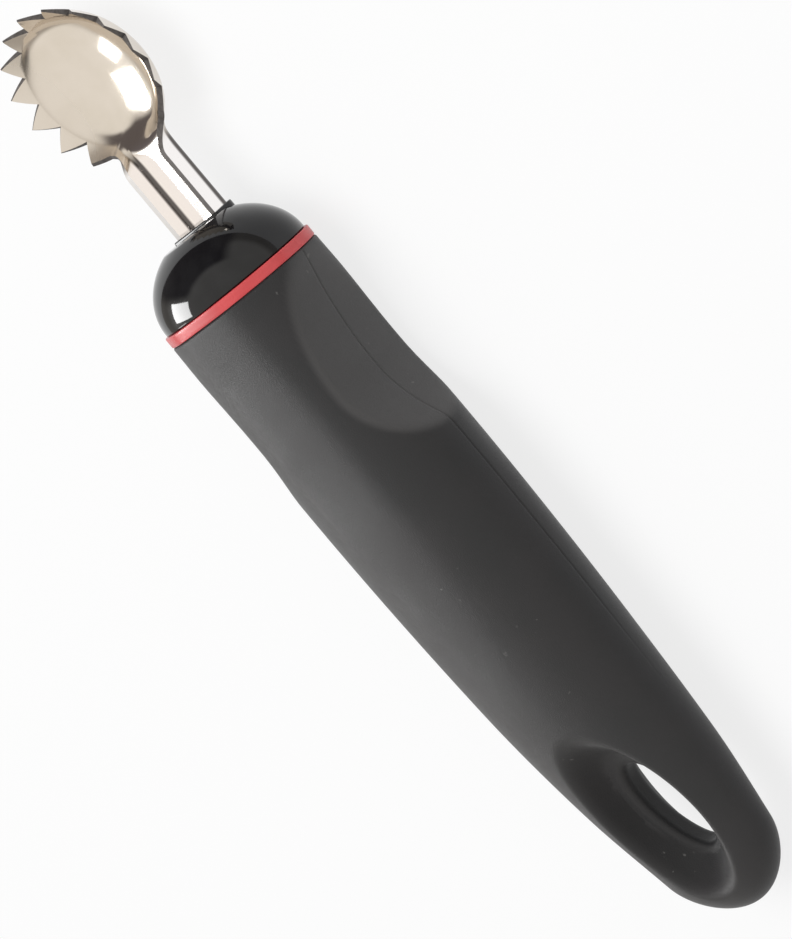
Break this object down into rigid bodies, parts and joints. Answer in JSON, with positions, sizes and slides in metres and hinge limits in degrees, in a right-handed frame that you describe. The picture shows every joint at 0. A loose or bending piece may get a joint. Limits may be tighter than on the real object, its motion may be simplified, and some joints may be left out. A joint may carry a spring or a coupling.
{
  "type": "tomato corer",
  "caption": "Tomato corer: a saw-toothed stainless scoop on a channel shank, in an oval black soft-grip handle with thumb hollows, a gloss nose, a red ring and a hang hole.",
  "frame": {"origin": "middle of the footprint, at the lowest point of the handle's back", "axes": "+X from the handle towards the scoop's tip, +Z out of the scoop's mouth and along the hang hole, Y across the handle"},
  "size_m": [0.165, 0.0322, 0.0214],
  "materials": {
    "scoop_steel": "polished stainless sheet",
    "nose_gloss": "high gloss black",
    "ring_red": "satin red",
    "core_plastic": "moulded black",
    "grip_rubber": "matt charcoal soft grip"
  },
  "bodies": {
    "root": {"scoop_blade": "scoop_steel", "nose_cap": "nose_gloss", "accent_ring": "ring_red", "handle_core": "core_plastic", "grip_sleeve": "grip_rubber"}
  },
  "joints": []
}
